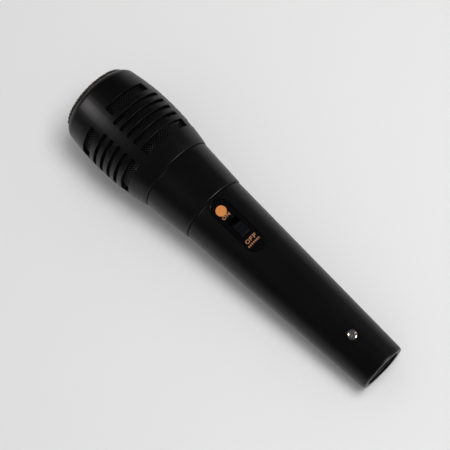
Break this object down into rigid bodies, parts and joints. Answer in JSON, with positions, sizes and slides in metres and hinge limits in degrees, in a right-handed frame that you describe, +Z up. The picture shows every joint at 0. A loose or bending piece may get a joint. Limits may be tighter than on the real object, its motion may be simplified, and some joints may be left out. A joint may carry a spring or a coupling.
{
  "type": "dynamic microphone",
  "caption": "Hand-held dynamic microphone with a tapered handle, a slide switch, a slotted barrel head over wire mesh and a pin socket in the tail.",
  "frame": {"origin": "on the floor under the middle of the microphone, which lies at rest on its tail and its head", "axes": "+X along the microphone towards the tail, +Z up, the side that carries the switch; +Y to the left of someone who looks from the head towards the tail"},
  "size_m": [0.2306, 0.0558, 0.0565],
  "materials": {
    "black_plastic": "satin moulded black, fine texture",
    "gloss_plastic": "polished black",
    "grey_plastic": "moulded dark grey",
    "wire": "woven wire, painted black",
    "foam": "open-cell foam",
    "rubber": "soft black rubber",
    "felt": "grey felt",
    "film": "thin clear polyester film",
    "board": "brown phenolic board",
    "steel": "plain zinc-plated steel",
    "bright_steel": "nickel plated",
    "magnet": "sintered, dark grey",
    "copper": "enamelled copper wire",
    "brass": "tinned brass",
    "red_cover": "red insulation",
    "white_cover": "white insulation",
    "green_cover": "green insulation"
  },
  "bodies": {
    "handle": {"handle": "black_plastic", "neck_collar": "black_plastic", "switch_plate": "gloss_plastic", "capsule_housing": "grey_plastic", "capsule_cap": "grey_plastic", "diaphragm_ring": "grey_plastic", "lock_ring": "grey_plastic", "connector_insert": "grey_plastic", "capsule_mount": "rubber", "damping_felt": "felt", "terminal_board": "board", "switch_base": "board", "yoke": "steel", "pole_piece": "steel", "switch_frame": "steel", "weight_sleeve": "steel", "switch_screw_front": "bright_steel", "switch_screw_rear": "bright_steel", "tail_screw": "bright_steel", "connector_pin_1": "bright_steel", "connector_pin_2": "bright_steel", "connector_pin_3": "bright_steel", "magnet": "magnet", "capsule_tab_hot": "brass", "capsule_tab_return": "brass", "switch_terminal_1": "brass", "switch_terminal_2": "brass", "switch_terminal_3": "brass", "ground_lug": "brass", "lead_capsule_to_switch": "red_cover", "lead_switch_to_pin": "red_cover", "lead_return": "white_cover", "lead_ground": "green_cover"},
    "switch_actuator": {"switch_knob": "gloss_plastic", "switch_slider": "grey_plastic", "contact_bridge": "brass"},
    "head_liner": {"foam_liner": "foam"},
    "head_clamp": {"clamp_ring": "grey_plastic"},
    "head": {"head_cage": "black_plastic", "side_mesh": "wire", "front_mesh": "wire"},
    "moving_coil": {"voice_coil": "copper", "diaphragm": "film"}
  },
  "joints": [
    {"name": "switch_slide", "type": "slide", "parent": "handle", "child": "switch_actuator", "axis": [-0.9976, 0, 0.0686], "range_m": [0, 0.004]},
    {"name": "head_lift", "type": "slide", "parent": "handle", "child": "head_liner", "axis": [-0.9976, 0, 0.0686], "range_m": [0, 0.04]},
    {"name": "head_rise", "type": "slide", "parent": "head_liner", "child": "head_clamp", "axis": [-0.9976, 0, 0.0686], "range_m": [0, 0.006]},
    {"name": "head_turn", "type": "hinge", "parent": "head_clamp", "child": "head", "pos_m": [-0.04617, 0, 0.02584], "axis": [-0.9976, 0, 0.0686], "range_deg": [0, 1080]},
    {"name": "coil_travel", "type": "slide", "parent": "handle", "child": "moving_coil", "axis": [-0.9976, 0, 0.0686], "range_m": [-0.00025, 0.00025], "stiffness_N_per_m": 200}
  ],
  "couplings": [
    {"joint": "head_rise", "follows": "head_turn", "m_per_rad": 0.00031831}
  ]
}
